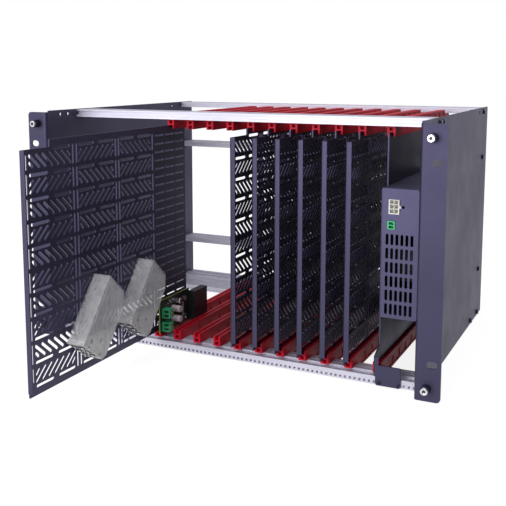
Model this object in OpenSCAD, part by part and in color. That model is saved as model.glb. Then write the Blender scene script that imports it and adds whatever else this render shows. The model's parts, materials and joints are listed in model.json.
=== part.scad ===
/* [Rack] */
// Height of the side plates, 6 units less clearance
side_h = 265.9; // [240:0.1:300]
// Height of the rack ears
ear_h = 262.6; // [236:0.1:296]
// Front-to-back length of the side plates
side_d = 330; // [324:1:360]
// Clear width between the side plates
inner_w = 431.8; // [430:0.1:440]
// Width over both rack ears
rack_w = 482.6; // [480:0.1:486]
// Sheet thickness of the side plates
side_t = 2; // [1.5:0.1:2.5]
// Outside radius of the fold between plate and ear
fold_r = 3.5; // [3:0.1:5]
// Corner radius of the ears
ear_r = 4; // [1:0.5:6]
// Rack screw slots, centre to centre across the rack
slot_span_x = 465.1; // [464:0.1:466]
// Rack screw slots, centre to centre in height
slot_span_z = 190.5; // [180:0.1:200]
// Height of a rack screw slot
slot_h = 6.8; // [6:0.1:7.5]
// Length of a rack screw slot
slot_l = 10.3; // [9:0.1:12]

/* [Rails] */
// Front-to-back length of every rail
rail_d = 30; // [28:0.5:32]
// Height of the front rails
front_rail_h = 8.6; // [8:0.1:10]
// Height of the rear rails
rear_rail_h = 6.8; // [6:0.1:8]
// Gap between a rail and the side plate edge it lies along
rail_inset = 0.7; // [0.4:0.1:2]
// Front face of the upper front rail, behind the ears
top_rail_y = 56; // [54:0.5:58]
// Front face of the lower front rail, behind the ears
bottom_rail_y = 22.5; // [22:0.1:24]
// Front face of the lower guide support rail
support_rail_y = 249.3; // [248:0.1:252]
// Height of the groove along the face of the upper front rail
face_groove = 4.4; // [2:0.1:5]
// Depth of the trough in the inner face of a front rail
trough = 2.2; // [1:0.1:2.3]
// Distance of the two middle rear rails from mid height
mid_rail_z = 71.5; // [60:0.5:90]
// Pitch of the threaded holes in the strip, one horizontal unit
hp = 5.08; // [5.08]
// Tapping drill of the threaded strip
strip_bore = 2.1; // [1.8:0.1:2.2]
// Clearance holes of the rail in front of the strip
strip_hole = 2.8; // [2.6:0.1:3]

/* [Card guides] */
// Length of a card guide
guide_l = 242; // [236:1:244]
// Width of a card guide
guide_w = 8.6; // [7:0.1:10]
// Depth of the groove that holds the card edge
groove_depth = 4; // [3:0.1:5]
// Width of that groove
groove_w = 2.1; // [1.9:0.05:2.4]
// How far the guides stand back from the face of their front rail
guide_setback = 8; // [6:0.5:10]
// Width of the funnel that leads a card into the groove
mouth_w = 4.6; // [3:0.1:6]
// Depth of the pockets in the sides of a guide
pocket = 0.8; // [0.4:0.1:1.2]

/* [Cards] */
// Height of a card plate
card_h = 233.35; // [230:0.05:234]
// Length of a card plate
card_d = 280; // [274:1:284]
// Sheet thickness of a card plate
card_t = 1.5; // [1.2:0.1:1.6]
// Width of the flange along the front of a card plate
flange_w = 6.3; // [5:0.1:9]
// Outside radius of its fold
card_fold_r = 2.2; // [1.8:0.1:3]
// Front of the pushed-in cards, behind the ears
card_y = 15; // [12:0.5:20]
// How far the first card is pulled out
pulled_out = 202; // [0:1:210]
// Length of the notch in the upper front corner of a card
notch_l = 39.5; // [30:0.5:50]
// Height of that notch
notch_h = 7.1; // [5:0.1:9]
// Width of the slots punched in a card
slot_w = 3.2; // [2:0.1:3.4]
// Height of one row of the punched pattern
row_h = 22.3; // [22.3:0.1:22.8]

/* [Power supply] */
// Width of the power supply
psu_w = 36.3; // [30:0.1:40]
// Height of the power supply
psu_h = 131; // [122:1:140]
// Length of the power supply
psu_d = 190; // [150:1:220]
// Front face of the power supply, behind the ears
psu_y = 37.4; // [36:0.2:42]
// Sheet thickness of its case
psu_t = 1.2; // [1:0.1:1.6]

/* [Hidden] */
$fn = 48;
cards = [5, 6, 7, 8, 9, 10];
lanes = [for (i = [1 : 11]) i];

clear = 0.3;
hole_first = 26.8;
hole_pitch = 13.8;
hole_edge = 4.9;
hole_d = 4.3;
units_wide = 84;
first_lane = 24;
lane_step = 5;
wide_step = 6;
top_z = side_h / 2;
rail_top_z = top_z - rail_inset;
card_z = card_h / 2;
guide_top_z = top_z - 3.1;
guide_foot_z = card_z - groove_depth;
guide_cap_z = rail_top_z - front_rail_h - clear;
rear_rail_y = side_d - rail_d;
ear_out = rack_w / 2;
bolt_in = 13.4;
bolt_z = 118.4;
relief = 5.5;

function hole_y(k) = hole_first + hole_pitch * k;
function strip_x(k) = (k + 0.5 - units_wide / 2) * hp;
function lane_x(i) =
    strip_x(first_lane + lane_step * (i - 1) + (i > 10 ? wide_step - lane_step : 0));

front_core = hole_y(3) - top_rail_y;
bottom_screws = [bottom_rail_y + front_core, bottom_rail_y + front_core + hole_pitch,
    hole_y(17), hole_y(20)];

// ---- plain shapes ----

module slot2d(from, to, w = slot_w) {
    step = to - from;
    len = norm(step);
    translate(from) rotate(atan2(step[1], step[0])) {
        translate([0, -w / 2]) square([len, w]);
        circle(d = w);
        translate([len, 0]) circle(d = w);
    }
}

module rounded2d(size, r) {
    difference() {
        square(size);
        for (x = [0, 1]) for (y = [0, 1])
            translate([x * size[0], y * size[1]]) mirror([x, 0]) mirror([0, y]) difference() {
                translate([-1, -1]) square(r + 1);
                translate([r, r]) circle(r);
            }
    }
}

// the quarter ring of a fold in a sheet, from a wall along Y to a flange along X
module fold2d(r, t) {
    translate([r, r]) intersection() {
        difference() {
            circle(r);
            circle(r - t);
        }
        translate([-r, -r]) square(r);
    }
}

// turns a drawing in Y and Z into a solid that is w thick along X
module along_x(w) rotate([90, 0, 90]) linear_extrude(w) children();

// turns a drawing in X and Z into a solid that is d thick along Y
module along_y(d) translate([0, d, 0]) rotate([90, 0, 0]) linear_extrude(d) children();

// ---- side plates ----

top_holes = [for (k = [0, 1, 3, 4, 18, 20]) hole_y(k)];

module ear_outline() {
    w = ear_out - inner_w / 2;
    translate([inner_w / 2 - w, -ear_h / 2]) difference() {
        rounded2d([2 * w, ear_h], ear_r);
        translate([-1, -1]) square([w + fold_r + 1, ear_h + 2]);
    }
}

module ear_holes() {
    for (s = [-1, 1]) {
        translate([slot_span_x / 2, s * slot_span_z / 2])
            slot2d([-(slot_l - slot_h) / 2, 0], [(slot_l - slot_h) / 2, 0], slot_h);
        translate([ear_out - bolt_in, s * bolt_z]) circle(d = 5.2);
    }
}

module fold_profile() {
    translate([inner_w / 2, 0]) {
        fold2d(fold_r, side_t);
        translate([0, fold_r]) square([side_t, relief]);
    }
}

module side_plate() {
    color([0.27, 0.25, 0.34]) {
        along_y(side_t) difference() {
            ear_outline();
            ear_holes();
        }
        translate([0, 0, -ear_h / 2]) linear_extrude(ear_h) fold_profile();
        translate([inner_w / 2, 0, 0]) along_x(side_t) difference() {
            translate([relief, -side_h / 2]) square([side_d - relief, side_h]);
            for (y = top_holes) translate([y, top_z - hole_edge]) circle(d = hole_d);
            for (y = bottom_screws) translate([y, hole_edge - top_z]) circle(d = hole_d);
            for (s = [-1, 1]) translate([hole_y(20), s * mid_rail_z]) circle(d = hole_d);
        }
    }
}

module side_plate_left() mirror([1, 0, 0]) side_plate();
module side_plate_right() side_plate();

// ---- rails, drawn in Y and Z from their front outer edge ----

core_d = 3.4;
lip_w = 2.6;
trough_end = 13.5;
edge_core_z = top_z - hole_edge - rail_top_z;
strip_z = rail_top_z - 2.55;
strip_w = 2.4;
strip_h = 3;
strip_wall = 1.6;

module rail_outline(h, ends) {
    difference() {
        translate([0, -h]) square([rail_d, h]);
        for (y = ends) translate([y, edge_core_z]) circle(d = core_d);
        for (y = [rail_d - 11, rail_d - 19]) translate([y, -1]) square([1.4, 2]);
        translate([rail_d - 1.2, -h / 2 - 1.2]) square([2, 2.4]);
    }
}

module front_profile() {
    difference() {
        rail_outline(front_rail_h, [front_core, front_core + hole_pitch]);
        translate([lip_w, -front_rail_h - 1]) square([trough_end - lip_w, trough + 1]);
        for (y = [19, 25]) translate([y, -front_rail_h - 1]) square([1.6, 1.6]);
    }
}

module rear_profile(core_z = edge_core_z) {
    h = rear_rail_h;
    difference() {
        translate([0, -h]) square([rail_d, h]);
        for (y = [4.5, rail_d / 2 + 4, rail_d - 6]) translate([y, -1]) square([1.6, 2]);
        for (y = [5.5, rail_d - 11]) translate([y, -h - 1]) square([4, 2.2]);
        for (y = [-1, rail_d - 1]) translate([y, -h / 2 - 1.2]) square([2, 2.4]);
        children();
    }
}

module core(y, z) translate([y, z]) circle(d = core_d);

module rail(y, z) {
    color([0.86, 0.87, 0.9]) translate([-inner_w / 2, y, z]) along_x(inner_w) children();
}

module strip_holes(d) for (k = [0 : units_wide - 1])
    translate([strip_x(k), bottom_rail_y - 1, -strip_z]) rotate([-90, 0, 0]) cylinder(d = d, h = 7);

module front_rail_top() rail(top_rail_y, rail_top_z) difference() {
    front_profile();
    translate([-1, -1.6 - face_groove]) square([4.5, face_groove]);
}

module front_rail_bottom() {
    channel_w = strip_w + 2 * clear;
    channel_h = strip_h + 2 * clear;
    difference() {
        mirror([0, 0, 1]) rail(bottom_rail_y, rail_top_z) difference() {
            front_profile();
            translate([strip_wall, strip_z - rail_top_z - channel_h / 2]) square([channel_w, channel_h]);
        }
        intersection() {
            strip_holes(strip_hole);
            translate([-inner_w, bottom_rail_y - 1, -top_z]) cube([2 * inner_w, 1 + strip_wall + 1, 8]);
        }
        for (k = [2 : 5 : units_wide - 1])
            translate([strip_x(k), bottom_rail_y + 9, front_rail_h - rail_top_z - trough - 1.4])
                cylinder(d = 3, h = 3);
    }
}

module threaded_strip() color([0.7, 0.7, 0.72]) difference() {
    mirror([0, 0, 1])
        translate([-inner_w / 2 + clear, bottom_rail_y + strip_wall + clear, strip_z - strip_h / 2])
            cube([inner_w - 2 * clear, strip_w, strip_h]);
    strip_holes(strip_bore);
}

module rear_rail_top() rail(rear_rail_y, rail_top_z)
    rear_profile() core(rear_core, edge_core_z);
module rear_rail_upper() rail(rear_rail_y, mid_rail_z + rear_rail_h / 2)
    rear_profile() core(rear_core, -rear_rail_h / 2);
module rear_rail_lower() mirror([0, 0, 1]) rear_rail_upper();
module rear_rail_bottom() mirror([0, 0, 1]) rear_rail_top();
module guide_support_rail() mirror([0, 0, 1]) rail(support_rail_y, rail_top_z)
    rear_profile() core(support_core, edge_core_z);

rear_core = hole_y(20) - rear_rail_y;
support_core = hole_y(17) - support_rail_y;

// ---- card guides, drawn for the upper row with the front end at Y = 0 ----

clip_l = rail_d - guide_setback + clear;
tall_l = support_rail_y - bottom_rail_y - rail_d - 2 * clear;
pocket_count = 8;
pocket_pitch = tall_l / pocket_count;
rib_w = 1.8;

module guide_block(from, len, cap_z) {
    translate([-guide_w / 2, from, guide_foot_z]) cube([guide_w, len, cap_z - guide_foot_z]);
}

module guide_pockets() {
    low = guide_foot_z + groove_depth + 1.6;
    high = guide_top_z - 2;
    for (x = [-guide_w / 2 - 1, guide_w / 2 - pocket]) translate([x, 0, 0]) along_x(pocket + 1)
        for (k = [0 : pocket_count - 1])
            translate([clip_l + k * pocket_pitch + rib_w / 2, low])
                square([pocket_pitch - rib_w, high - low]);
}

module guide_mouth() {
    translate([0, 0, guide_foot_z - 1]) linear_extrude(groove_depth + 1 + clear)
        polygon([[-mouth_w / 2, -1], [mouth_w / 2, -1], [groove_w / 2, 7], [-groove_w / 2, 7]]);
}

module guide(lane, front_y) {
    web = guide_foot_z + groove_depth + clear + 1.5;
    color([0.75, 0.05, 0.12]) translate([lane_x(lane), front_y, 0]) difference() {
        union() {
            guide_block(0, guide_l, guide_cap_z);
            guide_block(clip_l, tall_l, guide_top_z);
            guide_block(clip_l + tall_l, guide_l - clip_l - tall_l, rail_top_z - rear_rail_h - clear);
        }
        translate([-groove_w / 2, -1, guide_foot_z - 1])
            cube([groove_w, guide_l + 2, groove_depth + 1 + clear]);
        guide_mouth();
        translate([-2, -1, web]) cube([4, 7, guide_cap_z - web - 1.5]);
        guide_pockets();
    }
}

top_guide_y = top_rail_y + guide_setback;
bottom_guide_y = bottom_rail_y + guide_setback;

module guide_top(lane) guide(lane, top_guide_y);
module guide_bottom(lane) mirror([0, 0, 1]) guide(lane, bottom_guide_y);

// ---- card plates, drawn in depth and height from mid height ----

half_rows = 5;
cell_w = 69;
cell_from = 11;

module leaning_slots(rising) {
    for (i = [0 : 5]) {
        x = 1.6 + 8.7 * i;
        slot2d([x, rising ? 3.8 : 14.6], [x + 12, rising ? 14.6 : 3.8]);
    }
    slot2d([1.6, rising ? 10.5 : 8], [4.8, rising ? 13.9 : 4.5]);
    slot2d([53.2, rising ? 4.5 : 13.9], [56.4, rising ? 8 : 10.5]);
}

module level_slots(from) for (x = from) slot2d([x, 19.4], [x + 22, 19.4]);

upright_slots = [cell_from - 3.5, cell_from + 61.2, cell_from + 66.6, cell_from + 130.2,
    cell_from + 135.6, cell_from + 199.3];

rear_from = 215.3;
rear_pitch_x = 21.3;
rear_rows = 12;

// the punching of the upper half; under the notch a row keeps clear of its edge
module half_pattern(notched) {
    for (j = [0 : half_rows - 1]) translate([0, j * row_h]) {
        for (c = [0 : 2]) translate([cell_from + cell_w * c, 0]) {
            leaning_slots((j + c) % 2 == 1);
            level_slots(notched && j == half_rows - 1 && c == 0 ? [34] : [2, 34]);
        }
        for (x = upright_slots)
            slot2d([x, 3], [x, row_h - (j == half_rows - 1 && x < cell_from ? 8 : 3)]);
    }
    for (c = [0 : 2]) for (r = [0 : rear_rows - 1])
        translate([rear_from + rear_pitch_x * c, half_rows * row_h / rear_rows * (r + 0.5) - 1])
            square([18, 2]);
}

module card_plate(lane, y) {
    low = -card_h / 2;
    flange_low = low + 5;
    color([0.16, 0.15, 0.2]) translate([lane_x(lane) - card_t / 2, y, 0]) {
        along_x(card_t) difference() {
            translate([card_fold_r, low]) square([card_d - card_fold_r, card_h]);
            translate([-1, card_h / 2 - notch_h]) square([notch_l + 1, notch_h + 1]);
            half_pattern(true);
            mirror([0, 1]) half_pattern(false);
        }
        translate([0, 0, flange_low]) linear_extrude(card_h - notch_h - 5) {
            fold2d(card_fold_r, card_t);
            translate([card_fold_r, 0]) square([flange_w - card_fold_r, card_t]);
        }
    }
}

// ---- power supply and its plate ----

psu_lane = 11;
psu_x = lane_x(psu_lane) + card_t / 2;
psu_z = -67;
tongue_y = bottom_rail_y - clear - card_t;
tongue_h = 20.7;
bracket_w = 28;
bracket_bolts = [strip_x(76), strip_x(80)];

module psu_plate() {
    low = -card_h / 2;
    side = lane_x(psu_lane) - card_t / 2;
    neck_low = front_rail_h + clear - rail_top_z;
    neck_end = bottom_guide_y - clear;
    neck_top = low + 13.5;
    color([0.16, 0.15, 0.2]) {
        translate([side, 0, 0]) along_x(card_t) {
            translate([psu_y + 18, low]) square([card_d + card_y - psu_y - 18, card_h]);
            translate([psu_y + 1, low]) square([40, psu_z + psu_h - low]);
            polygon([[tongue_y + card_fold_r, neck_low], [neck_end, neck_low], [neck_end, low],
                [psu_y + 2, low], [psu_y + 2, low + 21], [tongue_y + card_fold_r, neck_top]]);
        }
        translate([side, tongue_y, neck_low]) linear_extrude(neck_top - neck_low)
            fold2d(card_fold_r, card_t);
        difference() {
            union() {
                translate([side + card_fold_r, tongue_y, -rail_top_z])
                    along_y(card_t) rounded2d([bracket_w - card_fold_r, tongue_h], 2.2);
                translate([side + card_fold_r, tongue_y, neck_low])
                    cube([3, card_t, neck_top - neck_low]);
            }
            for (x = bracket_bolts) translate([x, tongue_y - 1, -strip_z])
                rotate([-90, 0, 0]) cylinder(d = 2.9, h = 4);
        }
    }
}

plug_x = 6.4;
plug_w = 10.6;
plug_h = 14.4;
plug_z = psu_h - 10.8 - plug_h;
plug_gap = 0.3;
header_x = 5.2;
header_w = 7.6;
header_h = 8.2;
header_z = plug_z - 7.2 - header_h;
vent_x = 5;
vent_z = 9.3;
vent_pitch_x = 5;
vent_pitch_z = 14.15;
vent_w = 2.9;
vent_h = 11.2;

module psu_front_holes() {
    for (c = [0 : 5]) for (r = [0 : 5]) translate([vent_x + vent_pitch_x * c, vent_z + vent_pitch_z * r])
        slot2d([0, (vent_w - vent_h) / 2], [0, (vent_h - vent_w) / 2], vent_w);
    translate([plug_x - plug_gap, plug_z - plug_gap])
        square([plug_w + 2 * plug_gap, plug_h + 2 * plug_gap]);
    translate([plug_x + plug_w + 2.4, plug_z + plug_h / 2 - 1.3]) square(2.6);
    translate([header_x - plug_gap, header_z - plug_gap])
        square([header_w + 2 * plug_gap, header_h + 2 * plug_gap]);
}

// floor pan of the case: the wall on the card plate, the front and the back
module psu_case() {
    color([0.38, 0.37, 0.47]) translate([psu_x, psu_y, psu_z]) {
        translate([0, 0, psu_t]) cube([psu_t, psu_d, psu_h - 2 * psu_t]);
        along_y(psu_t) difference() {
            translate([0, psu_t]) square([psu_w - psu_t, psu_h - 2 * psu_t]);
            psu_front_holes();
        }
        translate([0, psu_d - psu_t, psu_t])
            cube([psu_w - psu_t, psu_t, psu_h - 2 * psu_t]);
    }
}

// cover of the case: folded over the top, the outer side and the bottom
module psu_cover() {
    r = psu_t + 0.8;
    color([0.38, 0.37, 0.47]) translate([psu_x, psu_y, psu_z]) along_y(psu_d) {
        for (z = [0, psu_h - psu_t]) translate([0, z]) square([psu_w - r, psu_t]);
        translate([psu_w - psu_t, r]) square([psu_t, psu_h - 2 * r]);
        translate([psu_w, 0]) mirror([1, 0]) fold2d(r, psu_t);
        translate([psu_w, psu_h]) mirror([0, 1]) mirror([1, 0]) fold2d(r, psu_t);
    }
}

module psu_board() {
    color([0.1, 0.35, 0.2]) translate([psu_x + psu_t + 0.2, psu_y + 20, psu_z + 6]) {
        cube([1.6, psu_d - 30, psu_h - 12]);
        translate([1.6, 30, 20]) cube([24, 40, 36]);
        translate([1.6, 90, 60]) cube([20, 30, 30]);
    }
}

module psu_power_socket() {
    color([0.93, 0.92, 0.9]) translate([psu_x + plug_x, psu_y - 1.5, psu_z + plug_z]) {
        difference() {
            cube([plug_w, 20, plug_h]);
            for (c = [0, 1]) for (r = [0 : 2])
                translate([1 + 4.5 * c, -1, 0.9 + 4.5 * r]) cube([4.1, 10, 4]);
        }
        translate([plug_w, 0, plug_h / 2 - 1.2]) linear_extrude(2.4)
            polygon([[0, 0], [1.7, 0.6], [0, 1.4]]);
    }
}

module psu_signal_header() {
    color([0.1, 0.55, 0.3]) translate([psu_x + header_x, psu_y - 1, psu_z + header_z]) difference() {
        cube([header_w, 18, header_h]);
        for (r = [0, 1]) translate([1.4, -1, 1 + 3.5 * r]) cube([5, 8, 2.7]);
    }
}

// ---- what the first card carries ----

card_one_y = card_y - pulled_out;
face_x = lane_x(1) + card_t / 2;
board_off = 8;
board_u = 206;
board_l = 64;
board_h = 38;
board_t = 1.6;
edge_margin = 0.675;
rail_margin = 7.35;
board_low = max(edge_margin - card_z, rail_margin - guide_cap_z);
block = 15.2;
block_step = 17.6;
cap_d = 7.5;
cap_l = 11;
cap_heights = [12, 23.5];
spacer_d = 5;
spacer_heights = [7.5, 28.5];
spacer_places = [10, 54];
relay_tilt = 38;
relay_places = [[55, 35.675 - card_z], [134, 34.675 - card_z]];
relay_w = 20;
relay_d = 40;
relay_h = 74;
relay_seam = 5;
relay_rise = 30;

module at_card(u, v) translate([face_x, card_one_y + u, v]) children();

module relay_frame(i) {
    at_card(relay_places[i - 1][0], relay_places[i - 1][1])
        rotate([-relay_tilt, 0, 0]) children();
}

// the cover's outline in the relay's own depth and height, less a wall
function cover_points(wall, low) = [[wall, low], [relay_d - wall, low + relay_rise],
    [relay_d - wall, 58 - wall], [relay_d - 9, 71 - wall], [wall, relay_h - wall]];

module relay_base(i) color([0.8, 0.78, 0.72]) relay_frame(i) difference() {
    along_x(relay_w) polygon([[0, 0], [relay_d - 4, 0], [relay_d, 6],
        [relay_d, relay_seam + relay_rise], [0, relay_seam]]);
    for (y = [8, 18, 28]) translate([relay_w - 3, y, -1]) cube([4, 3, 5]);
    for (y = [10, 24]) translate([relay_w - 4, y, 4 + y * 0.45]) rotate([0, 90, 0]) cylinder(d = 4.6, h = 5);
}

function seam_at(y) = relay_seam + relay_rise * y / relay_d;

module relay_coil(i) color([0.5, 0.4, 0.35]) relay_frame(i) {
    translate([4, 0, 0]) along_x(relay_w - 8)
        polygon([[7, seam_at(7) + clear], [35, seam_at(35) + clear], [35, 36], [7, 24]]);
    translate([relay_w / 2, 14, 20]) cylinder(d = 5, h = 33);
    translate([relay_w / 2, 14, 24]) cylinder(d = 12, h = 26);
    for (z = [25, 48]) translate([3, 7, z]) cube([relay_w - 6, 14, 2]);
    translate([3, 30, 34]) cube([relay_w - 6, 5, 25]);
    translate([3, 12, 52]) cube([relay_w - 6, 20, 2]);
}

module relay_cover(i) color([0.8, 0.82, 0.85, 0.5]) relay_frame(i) difference() {
    along_x(relay_w) polygon(cover_points(0, relay_seam));
    translate([1.2, 0, 0]) along_x(relay_w - 2.4) polygon(cover_points(1.2, relay_seam - 1.5));
}

module on_board(u, v) at_card(board_u + u, board_low + v)
    translate([board_off + board_t, 0, 0]) children();

module interface_board() color([0.05, 0.3, 0.15]) on_board(0, 0)
    translate([-board_t, 0, 0]) cube([board_t, board_l, board_h]);

module terminal_blocks() color([0.15, 0.65, 0.4]) for (v = [0, block_step]) on_board(3.7, v)
    difference() {
        cube([10, block, block]);
        for (r = [0 : 2]) translate([3, -1, 1.2 + 4.8 * r]) cube([5, 7, 3.4]);
    }

module capacitors() color([0.85, 0.75, 0.8]) for (v = cap_heights) on_board(27, v)
    rotate([0, 90, 0]) cylinder(d = cap_d, h = cap_l);

module rear_connector() color([0.08, 0.08, 0.1]) on_board(board_l - 2, 1) cube([9, 30, 34]);

module board_spacers() color([0.8, 0.8, 0.8])
    for (u = spacer_places) for (v = spacer_heights)
        at_card(board_u + u, board_low + v) rotate([0, 90, 0]) cylinder(d = spacer_d, h = board_off);

// ---- screws ----

module pan_screw(d, len) {
    cylinder(d = d, h = len);
    translate([0, 0, len]) difference() {
        cylinder(d = 2 * d - 0.6, h = 2.4);
        translate([0, 0, 1]) cylinder(d = 2, h = 2);
    }
}

module rail_screw(y, z) for (s = [-1, 1]) mirror([s < 0 ? 1 : 0, 0, 0])
    translate([inner_w / 2 - 8, y, z]) rotate([0, 90, 0]) pan_screw(3.3, 8 + side_t);

module rail_screws() color([0.1, 0.1, 0.12]) {
    for (k = [3, 4, 20]) rail_screw(hole_y(k), top_z - hole_edge);
    for (y = bottom_screws) rail_screw(y, hole_edge - top_z);
    for (s = [-1, 1]) rail_screw(hole_y(20), s * mid_rail_z);
}

module ear_bolts() color([0.75, 0.75, 0.78]) for (sx = [-1, 1]) for (sz = [-1, 1])
    translate([sx * (ear_out - bolt_in), 0, sz * bolt_z]) rotate([90, 0, 0]) {
        translate([0, 0, -7]) cylinder(d = 5, h = 7);
        difference() {
            cylinder(d = 9, h = 10);
            translate([0, 0, 6]) cylinder(d = 4, h = 5, $fn = 6);
        }
    }

module bracket_screws() color([0.12, 0.12, 0.14]) for (x = bracket_bolts)
    translate([x, bottom_rail_y + strip_wall + clear + strip_w, -strip_z]) rotate([90, 0, 0])
        pan_screw(2, card_t + strip_wall + strip_w + 2 * clear);

side_plate_left();
side_plate_right();
front_rail_top();
front_rail_bottom();
threaded_strip();
rear_rail_top();
rear_rail_upper();
rear_rail_lower();
rear_rail_bottom();
guide_support_rail();
for (i = lanes) guide_top(i);
for (i = lanes) guide_bottom(i);
card_plate(1, card_one_y);  // card_1
for (i = cards) card_plate(i, card_y);
psu_plate();
psu_case();
psu_cover();
psu_board();
psu_power_socket();
psu_signal_header();
for (i = [1, 2]) relay_base(i);
for (i = [1, 2]) relay_coil(i);
for (i = [1, 2]) relay_cover(i);
interface_board();
terminal_blocks();
capacitors();
rear_connector();
board_spacers();
rail_screws();
ear_bolts();
bracket_screws();
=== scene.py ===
import json
import math
import random

import bmesh
import bpy
from mathutils import Matrix, Vector

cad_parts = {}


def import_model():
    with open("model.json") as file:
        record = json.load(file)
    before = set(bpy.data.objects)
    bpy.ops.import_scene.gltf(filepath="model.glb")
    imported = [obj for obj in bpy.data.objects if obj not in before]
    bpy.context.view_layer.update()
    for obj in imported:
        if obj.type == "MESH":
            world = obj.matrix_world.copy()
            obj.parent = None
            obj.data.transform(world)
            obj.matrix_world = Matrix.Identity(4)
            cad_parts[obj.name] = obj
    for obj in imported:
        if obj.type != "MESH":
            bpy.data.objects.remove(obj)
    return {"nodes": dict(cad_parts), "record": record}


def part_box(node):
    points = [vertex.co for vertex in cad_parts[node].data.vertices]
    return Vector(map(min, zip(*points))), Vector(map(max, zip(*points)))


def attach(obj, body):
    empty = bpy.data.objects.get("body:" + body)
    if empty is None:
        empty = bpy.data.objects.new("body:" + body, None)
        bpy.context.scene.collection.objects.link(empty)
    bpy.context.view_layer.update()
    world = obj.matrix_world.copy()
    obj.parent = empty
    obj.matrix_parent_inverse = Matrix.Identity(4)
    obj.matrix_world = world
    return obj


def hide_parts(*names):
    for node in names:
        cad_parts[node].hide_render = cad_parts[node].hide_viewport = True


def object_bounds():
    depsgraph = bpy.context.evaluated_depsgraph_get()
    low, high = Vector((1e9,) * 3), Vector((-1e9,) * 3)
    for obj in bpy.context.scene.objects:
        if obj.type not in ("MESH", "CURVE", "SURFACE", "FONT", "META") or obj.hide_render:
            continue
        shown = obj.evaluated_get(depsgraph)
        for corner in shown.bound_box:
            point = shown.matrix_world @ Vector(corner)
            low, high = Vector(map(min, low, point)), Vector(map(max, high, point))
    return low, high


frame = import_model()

MM = 0.001
NODES = frame["nodes"]
LOW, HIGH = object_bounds()


SLOT_OF = {s["node"]: s["material_slot"] for s in frame["record"]["subparts"]}

# ---------------------------------------------------------------- materials


NOISE_SPAN = (0.3, 0.7)
SHEEN = (0.6, 0.56, 1.0)   # the powder coat mirrors with a violet tint
PEEL_SCALE, PEEL_DEPTH = 900, 0.00004
FINE_DEPTH = 0.00001       # of drawn lines and spark-eroded grain, in metres
RIPPLE_DEPTH = 0.0006      # of the flow marks in the clear covers, in metres
BRUSHED = (0.02, 1, 1)     # lines along X


class Look:
    """A procedural material, built node by node."""

    def __init__(self, name, **sockets):
        self.mat = bpy.data.materials.new(name)
        self.mat.use_nodes = True
        self.tree = self.mat.node_tree
        self.shader = self.tree.nodes["Principled BSDF"]
        self.place = self.node("ShaderNodeTexCoord").outputs["Object"]
        for socket, value in sockets.items():
            self.shader.inputs[socket.replace("_", " ")].default_value = value

    def node(self, kind, **settings):
        n = self.tree.nodes.new(kind)
        for key, value in settings.items():
            setattr(n, key, value)
        return n

    def link(self, a, b):
        self.tree.links.new(a, b)

    def noise(self, scale, detail=3.0, stretch=(1, 1, 1)):
        """Noise with about scale features a metre; an axis with a low stretch gets long ones."""
        mapping = self.node("ShaderNodeMapping")
        mapping.inputs["Scale"].default_value = stretch
        self.link(self.place, mapping.inputs["Vector"])
        n = self.node("ShaderNodeTexNoise")
        n.inputs["Scale"].default_value = scale
        n.inputs["Detail"].default_value = detail
        self.link(mapping.outputs["Vector"], n.inputs["Vector"])
        return n.outputs["Fac"]

    def ramp(self, fac, *stops):
        """Colours against a value, as (position, colour) pairs."""
        n = self.node("ShaderNodeValToRGB")
        elements = n.color_ramp.elements
        while len(elements) < len(stops):
            elements.new(0.5)
        for element, (at, colour) in zip(elements, stops):
            element.position = at
            element.color = (*colour, 1)
        self.link(fac, n.inputs["Fac"])
        return n.outputs["Color"]

    def grey(self, fac, low, high):
        """A value that runs from low to high over the usual range of a noise."""
        n = self.node("ShaderNodeMapRange")
        n.inputs["From Min"].default_value, n.inputs["From Max"].default_value = NOISE_SPAN
        n.inputs["To Min"].default_value, n.inputs["To Max"].default_value = low, high
        self.link(fac, n.inputs["Value"])
        return n.outputs["Result"]

    def colour(self, source):
        self.link(source, self.shader.inputs["Base Color"])

    def roughness(self, source):
        self.link(source, self.shader.inputs["Roughness"])

    def bump(self, height, depth, strength=1.0):
        """Bump of about depth metres, on top of any bump made before."""
        n = self.node("ShaderNodeBump")
        n.inputs["Distance"].default_value = depth
        n.inputs["Strength"].default_value = strength
        self.link(height, n.inputs["Height"])
        before = self.shader.inputs["Normal"].links
        if before:
            self.link(before[0].from_socket, n.inputs["Normal"])
        self.link(n.outputs["Normal"], self.shader.inputs["Normal"])


def shade(colour, factor):
    return tuple(min(1.0, c * factor) for c in colour)


def painted(name, colour, rough):
    """Powder coat: a fine orange peel, and a gloss that wanders a little over the sheet."""
    look = Look(name, Specular_IOR_Level=1.0, Specular_Tint=(*SHEEN, 1))
    cloud = look.noise(9, detail=4)
    look.colour(look.ramp(cloud, (0.3, shade(colour, 0.85)), (0.7, shade(colour, 1.15))))
    look.roughness(look.grey(look.noise(25), rough - 0.04, rough + 0.05))
    look.bump(look.noise(PEEL_SCALE, detail=2), PEEL_DEPTH)
    return look.mat


def anodised(name, colour, rough):
    """Drawn aluminium: fine lines along the length, under a thin clear anodised layer."""
    look = Look(name, Metallic=0.4, Specular_IOR_Level=0.5)
    lines = look.noise(1600, detail=2, stretch=BRUSHED)
    look.colour(look.ramp(lines, (0.35, shade(colour, 0.93)), (0.65, shade(colour, 1.04))))
    look.roughness(look.grey(lines, rough - 0.05, rough + 0.08))
    look.bump(lines, FINE_DEPTH)
    return look.mat


def moulded(name, colour, rough, level=0.5, flow=14, mottle=0.1):
    """Injection-moulded plastic: faint flow clouds and a fine spark-eroded grain."""
    look = Look(name, Specular_IOR_Level=level)
    cloud = look.noise(flow, detail=3)
    dark, pale = shade(colour, 1 - mottle), shade(colour, 1 + mottle)
    look.colour(look.ramp(cloud, (0.3, dark), (0.7, pale)))
    look.roughness(look.grey(look.noise(60), rough - 0.05, rough + 0.06))
    look.bump(look.noise(2200, detail=1), FINE_DEPTH)
    return look.mat


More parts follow.
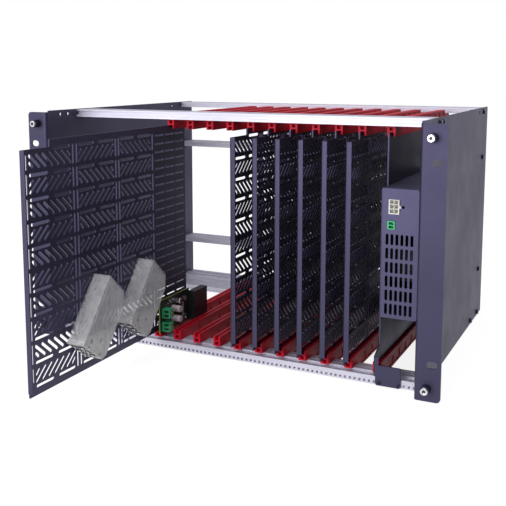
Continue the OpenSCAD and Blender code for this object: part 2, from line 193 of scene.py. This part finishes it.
def plated(name, colour, rough):
    """Turned and zinc-plated steel."""
    look = Look(name, Metallic=1.0)
    ring = look.noise(1200, detail=2, stretch=(1, 0.1, 1))
    look.colour(look.ramp(ring, (0.3, shade(colour, 0.9)), (0.7, shade(colour, 1.05))))
    look.roughness(look.grey(ring, rough - 0.06, rough + 0.08))
    return look.mat


def clear_plastic(name, colour, alpha):
    """Clear polycarbonate: each wall adds a pale haze, with streaks and flow marks."""
    look = Look(name, IOR=1.45, Roughness=0.12, Alpha=alpha)
    streaks = look.noise(220, detail=3, stretch=(1, 1, 0.12))
    look.colour(look.ramp(streaks, (0.35, shade(colour, 0.8)), (0.6, colour)))
    look.bump(look.noise(70, detail=1), RIPPLE_DEPTH, strength=0.5)
    return look.mat


PAINT = (0.014, 0.013, 0.026)
LOOKS = {
    "frame_paint": painted("frame_paint", PAINT, 0.5),
    "card": painted("card", shade(PAINT, 0.9), 0.45),
    "psu_paint": painted("psu_paint", (0.045, 0.044, 0.08), 0.45),
    "rail": anodised("rail", (0.66, 0.65, 0.76), 0.42),
    "guide": moulded("guide", (0.6, 0.006, 0.03), 0.5, level=0.2),
    "circuit_board": moulded("circuit_board", (0.008, 0.03, 0.02), 0.3, flow=60, mottle=0.3),
    "white_plastic": moulded("white_plastic", (0.92, 0.9, 0.85), 0.4),
    "green_plastic": moulded("green_plastic", (0.06, 0.56, 0.24), 0.4),
    "relay_base": clear_plastic("relay_base", (0.9, 0.91, 0.9), 0.8),
    "coil": clear_plastic("coil", (0.92, 0.93, 0.93), 0.16),
    "clear_cover": clear_plastic("clear_cover", (0.97, 0.98, 1.0), 0.3),
    "capacitor": moulded("capacitor", (0.78, 0.66, 0.74), 0.3),
    "black_plastic": moulded("black_plastic", (0.012, 0.012, 0.016), 0.4),
    "bright_metal": plated("bright_metal", (0.82, 0.81, 0.85), 0.22),
    "black_screw": painted("black_screw", (0.01, 0.01, 0.014), 0.3),
}

for name, node in NODES.items():
    node.data.materials.clear()
    node.data.materials.append(LOOKS[SLOT_OF[name]])

# ---------------------------------------------------------------- small parts


class Form:
    """One mesh object, put together from plain shapes given in millimetres."""

    def __init__(self, name, body, look, slot, place=Matrix()):
        self.name, self.body, self.look, self.slot = name, body, look, slot
        self.place = place
        self.bm = bmesh.new()

    def block(self, low, high, bevel=0.0):
        low, high = Vector(low), Vector(high)
        made = bmesh.ops.create_cube(self.bm, size=1)["verts"]
        bmesh.ops.scale(self.bm, vec=high - low, verts=made)
        bmesh.ops.translate(self.bm, vec=(low + high) / 2, verts=made)
        if bevel:
            edges = list({e for v in made for e in v.link_edges})
            bmesh.ops.bevel(self.bm, geom=edges, offset=bevel, segments=2, affect="EDGES")
        return self

    def turned(self, at, axis, profile, count=32, ribs=0.0):
        """Revolves (along, radius) pairs about an axis; ribs gives a knurled outside."""
        turn = Vector((0, 0, 1)).rotation_difference(Vector(axis)).to_matrix()
        rings = []
        for along, radius in profile:
            ring = []
            for i in range(count):
                a = 2 * math.pi * i / count
                r = radius - (ribs if i % 2 else 0)
                point = Vector((r * math.cos(a), r * math.sin(a), along))
                ring.append(self.bm.verts.new(Vector(at) + turn @ point))
            rings.append(ring)
        for one, two in zip(rings, rings[1:]):
            for i in range(count):
                j = (i + 1) % count
                self.bm.faces.new((one[i], one[j], two[j], two[i]))
        self.bm.faces.new(rings[0][::-1])
        self.bm.faces.new(rings[-1])
        return self

    def make(self, *replaced):
        bmesh.ops.recalc_face_normals(self.bm, faces=self.bm.faces)
        mesh = bpy.data.meshes.new(self.name)
        self.bm.transform(Matrix.Scale(MM, 4) @ self.place)
        self.bm.to_mesh(mesh)
        self.bm.free()
        mesh.materials.append(self.look)
        obj = bpy.data.objects.new(self.name, mesh)
        bpy.context.collection.objects.link(obj)
        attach(obj, self.body)
        if replaced:
            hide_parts(*replaced)
        return obj


def form(name, body, slot, place=Matrix()):
    """A form that has the look of its slot."""
    return Form(name, body, LOOKS[slot], slot, place)


def millimetres(name):
    low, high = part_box(name)
    return Vector(low) / MM, Vector(high) / MM


# Profiles are pairs of (place along the axis, radius), all sizes in millimetres.
OUT, RIGHT, DOWN = (0, -1, 0), (1, 0, 0), (0, 0, -1)
CARD = "card_1_unit"

BOLT_RADIUS = 4.5
KNURL_DEPTH, KNURL_EDGES = 0.22, 56
SLEEVE_PROFILE = [(-6.9, 2.4), (-0.2, 2.4), (-0.2, 2.5), (0.05, 4.3), (0.6, 4.45),
                  (7.4, 4.45), (7.9, 4.1)]
SCREW_PROFILE = [(7.9, 3.6), (9.3, 3.6), (9.8, 3.2), (9.8, 1.9), (8.6, 1.9)]
# A thin black hexagon at the bottom of each screw's socket: painted shade of the hole.
SOCKET_SHADE_PROFILE = [(8.65, 1.85), (8.8, 1.85)]
HEXAGON = 6


def ear_bolts():
    """Black knurled sleeves with a bright captive screw showing as a ring in front, and a black
    hexagon painted as shade deep in each screw's socket.
    """
    low, high = millimetres("ear_bolts")
    sleeve = form("bolt_sleeves", "cage", "black_screw")
    screw = form("bolt_screws", "cage", "bright_metal")
    # painted shade: a black hexagon at the bottom of each screw's socket
    socket_shade = form("bolt_socket_shade", "cage", "black_plastic")
    for x in (low.x + BOLT_RADIUS, high.x - BOLT_RADIUS):
        for z in (low.z + BOLT_RADIUS, high.z - BOLT_RADIUS):
            at = (x, 0, z)
            sleeve.turned(at, OUT, SLEEVE_PROFILE, count=KNURL_EDGES, ribs=KNURL_DEPTH)
            screw.turned(at, OUT, SCREW_PROFILE)
            socket_shade.turned(at, OUT, SOCKET_SHADE_PROFILE, count=HEXAGON)
    screw.make("ear_bolts")
    sleeve.make()
    socket_shade.make()


def terminal_blocks():
    """Two-way screw terminals: cable mouths in front, clamping screws on the outer face, and
    black plates painted as the shade inside each mouth and in each screw's slot.
    """
    low, _ = millimetres("terminal_blocks")
    x, y = low.x, low.y
    depth, length, height = 9.6, 9.4, 10.4
    lip = 3                     # how far the walls of the mouths reach back from the front
    outer = x + depth
    clamp_head = [(-0.3, 1.7), (0.15, 1.7), (0.2, 1.5)]
    body = form("terminal_bodies", CARD, "green_plastic")
    # Black plates painted as shade: at the back of each cable mouth, and as the slot of each
    # clamping screw.
    dark = form("terminal_painted_shade", CARD, "black_plastic")
    screws = form("terminal_screws", CARD, "bright_metal")
    for z in (low.z + 2.4, low.z + 17.8):
        body.block((x, y + 2.4, z), (outer, y + length, z + height), 0.3)
        for wall in (0, 4.7, 9.4):
            body.block((x + 2, y, z + wall), (outer - 0.8, y + lip, z + wall + 1.0), 0.15)
        body.block((x, y, z), (x + 2.1, y + lip, z + height), 0.2)
        body.block((outer - 1, y + 0.6, z), (outer, y + lip, z + height), 0.2)
        for way in (1.1, 5.8):
            mouth = z + way
            # painted shade at the back of the cable mouth
            dark.block((x + 2.6, y + 2.2, mouth + 0.3), (outer - 1.6, y + 2.45, mouth + 3.1))
            screws.turned((outer, y + 6, mouth + 1.8), RIGHT, clamp_head)
            # painted shade of the clamping screw's slot
            dark.block((outer + 0.12, y + 4.6, mouth + 1.6), (outer + 0.25, y + 7.4, mouth + 2.0))
    body.make("terminal_blocks")
    dark.make()
    screws.make()


def board_parts():
    """Screws, a can capacitor and small parts on the face of the interface board."""
    low, high = millimetres("interface_board")
    face = high.x
    bright = form("board_screws", CARD, "bright_metal")
    chips = form("board_chips", CARD, "black_plastic")
    pale = form("board_resistors", CARD, "white_plastic")
    for z in (low.z + 7.5, low.z + 28.5):
        bright.turned((face, low.y + 54, z), RIGHT, [(0, 2.9), (1.3, 2.9), (1.9, 2.1)])
    can = (face, low.y + 33.5, low.z + 31)
    bright.turned(can, RIGHT, [(0, 3.1), (6.4, 3.1), (7, 2.7)])
    chips.turned(can, RIGHT, [(6.95, 1.6), (7.1, 1.5)])
    chips.block((face, low.y + 38, low.z + 16), (face + 1.6, low.y + 46, low.z + 21), 0.15)
    chips.block((face, low.y + 38, low.z + 6), (face + 2.4, low.y + 44, low.z + 12), 0.15)
    column, pitch = low.y + 48.5, 2.4
    for i in range(7):
        z = low.z + 9.2 + pitch * i
        pale.block((face, column, z), (face + 0.6, column + 2, z + 1.1))
    draw = random.Random(4)
    for i in range(6):
        y = low.y + 16 + 3 * i
        z = low.z + 31 + draw.choice((0, pitch))
        pale.block((face, y, z), (face + 0.5, y + 1.6, z + 0.9))
    edge = Form("board_edges", CARD, BOARD_EDGE, "circuit_board")
    edge.block((low.x, low.y - 0.05, low.z), (high.x, low.y + 0.15, high.z))
    edge.block((low.x, low.y, high.z - 0.1), (high.x, high.y, high.z + 0.05))
    for made in (bright, chips, pale, edge):
        made.make()


# The low corner of each relay, along and up from the low corner of its card.
RELAY_CORNERS = ((55, 35.675), (134, 34.675))
RELAY_TILT = math.radians(-38)
# A black disc around each clamping screw: painted shade of the screw's well.
SCREW_SHADE_PROFILE = [(0, 2.9), (0.5, 2.9)]
CLAMP_PROFILE = [(0, 2.1), (0.5, 2.1), (0.8, 1.7)]


def relay_parts():
    """Clamping screws under each relay socket, each on a black disc painted as the shade of its
    well, and two rims on its cover.
    """
    card_low, _ = millimetres("card_1")
    for number, (along, up) in enumerate(RELAY_CORNERS, start=1):
        face = millimetres(f"relay_base_{number}")[0].x
        place = (Matrix.Translation((face, card_low.y + along, card_low.z + up))
                 @ Matrix.Rotation(RELAY_TILT, 4, "X"))
        # painted shade: a black disc under each clamping screw
        screw_shade = form(f"relay_screw_painted_shade_{number}", CARD, "black_plastic", place)
        screw = form(f"relay_screws_{number}", CARD, "bright_metal", place)
        for x in (5.2, 14.8):
            for y in (6, 16, 26):
                screw_shade.turned((x, y, -0.1), DOWN, SCREW_SHADE_PROFILE, count=24)
                screw.turned((x, y, -0.5), DOWN, CLAMP_PROFILE, count=24)
        rim = form(f"relay_rims_{number}", CARD, "clear_cover", place)
        rim.block((20.0, 2, 20), (20.4, 3.2, 68), 0.1)
        rim.block((20.0, 36.5, 38), (20.4, 37.7, 56), 0.1)
        for made in (screw_shade, screw, rim):
            made.make()


BOARD_EDGE = moulded("board_edge", (0.35, 0.42, 0.1), 0.5)
ear_bolts()
terminal_blocks()
board_parts()
relay_parts()

# ---------------------------------------------------------------- room and light

FLOOR_SIZE = 12
FLOOR_GAP = 0.0005
FLOOR_GREY, FLOOR_GLOW = 0.32, 0.86
GLOSSY_SHARE = 0.8         # how bright a mirrored floor is, against the one seen by the camera
ROOM_COLOUR, ROOM_STRENGTH = (0.95, 0.94, 1, 1), 0.45

CAMERA_PLACE = (0.400, -0.728, 0.179)
CAMERA_DOWN, CAMERA_LEFT = 0.1314, 0.4519   # radians off a level look along +Y
CAMERA_LENS, CAMERA_SENSOR = 57.6, 36
CAMERA_SHIFT = -0.15


def stage_look(name, diffuse, glow):
    """A pale surface that shows as white, yet keeps the object's shadow."""
    look = Look(name, Roughness=0.9, Specular_IOR_Level=0.0)
    look.shader.inputs["Base Color"].default_value = (diffuse, diffuse, diffuse, 1)
    path = look.node("ShaderNodeLightPath")
    mirrored = look.node("ShaderNodeMath", operation="MULTIPLY")
    mirrored.inputs[1].default_value = GLOSSY_SHARE
    look.link(path.outputs["Is Glossy Ray"], mirrored.inputs[0])
    seen = look.node("ShaderNodeMath", operation="MAXIMUM")
    look.link(path.outputs["Is Camera Ray"], seen.inputs[0])
    look.link(mirrored.outputs[0], seen.inputs[1])
    through = look.node("ShaderNodeMath", operation="MAXIMUM")
    look.link(seen.outputs[0], through.inputs[0])
    look.link(path.outputs["Is Transmission Ray"], through.inputs[1])
    scale = look.node("ShaderNodeMath", operation="MULTIPLY")
    scale.inputs[1].default_value = glow
    look.link(through.outputs[0], scale.inputs[0])
    look.shader.inputs["Emission Color"].default_value = (1, 1, 1, 1)
    look.link(scale.outputs[0], look.shader.inputs["Emission Strength"])
    return look.mat


def floor():
    mesh = bpy.data.meshes.new("floor")
    h = FLOOR_SIZE / 2
    z = LOW.z - FLOOR_GAP
    mesh.from_pydata([(-h, -h, z), (h, -h, z), (h, h, z), (-h, h, z)], [], [(0, 1, 2, 3)])
    obj = bpy.data.objects.new("floor", mesh)
    bpy.context.collection.objects.link(obj)
    mesh.materials.append(stage_look("floor", FLOOR_GREY, FLOOR_GLOW))


def world():
    w = bpy.data.worlds.new("studio")
    bpy.context.scene.world = w
    w.use_nodes = True
    tree = w.node_tree
    tree.nodes.clear()
    out = tree.nodes.new("ShaderNodeOutputWorld")
    mix = tree.nodes.new("ShaderNodeMixShader")
    room = tree.nodes.new("ShaderNodeBackground")
    room.inputs["Color"].default_value = ROOM_COLOUR
    room.inputs["Strength"].default_value = ROOM_STRENGTH
    white = tree.nodes.new("ShaderNodeBackground")
    white.inputs["Color"].default_value = (1, 1, 1, 1)
    white.inputs["Strength"].default_value = 1
    path = tree.nodes.new("ShaderNodeLightPath")
    seen = tree.nodes.new("ShaderNodeMath")
    seen.operation = "MAXIMUM"
    tree.links.new(path.outputs["Is Camera Ray"], seen.inputs[0])
    tree.links.new(path.outputs["Is Transmission Ray"], seen.inputs[1])
    tree.links.new(seen.outputs[0], mix.inputs[0])
    tree.links.new(room.outputs[0], mix.inputs[1])
    tree.links.new(white.outputs[0], mix.inputs[2])
    tree.links.new(mix.outputs[0], out.inputs["Surface"])


def softbox(name, at, target, size, watts):
    lamp = bpy.data.lights.new(name, "AREA")
    lamp.shape = "RECTANGLE"
    lamp.size, lamp.size_y = size
    lamp.energy = watts
    obj = bpy.data.objects.new(name, lamp)
    bpy.context.collection.objects.link(obj)
    obj.location = Vector(at)
    aim = Vector(target) - obj.location
    obj.rotation_euler = aim.to_track_quat("-Z", "Y").to_euler()


def lights():
    softbox("front_box", (-0.45, -1.7, 0.3), (0, 0, 0), (1.4, 1.3), 30)
    softbox("top_box", (0.2, 0.1, 1.6), (0, 0, 0), (1.6, 1.4), 8)
    softbox("right_box", (0.75, 1.5, 0.55), (0.2, 0.1, 0), (0.5, 0.9), 2)


def camera():
    """Stands to the right of the front and looks a little down, as the photograph does."""
    cam = bpy.data.cameras.new("camera")
    cam.sensor_width = CAMERA_SENSOR
    cam.lens = CAMERA_LENS
    cam.shift_y = CAMERA_SHIFT
    obj = bpy.data.objects.new("camera", cam)
    bpy.context.collection.objects.link(obj)
    obj.location = CAMERA_PLACE
    obj.rotation_euler = (math.pi / 2 - CAMERA_DOWN, 0, CAMERA_LEFT)
    bpy.context.scene.camera = obj


floor()
world()
lights()
camera()
bpy.context.scene.view_settings.view_transform = "Standard"
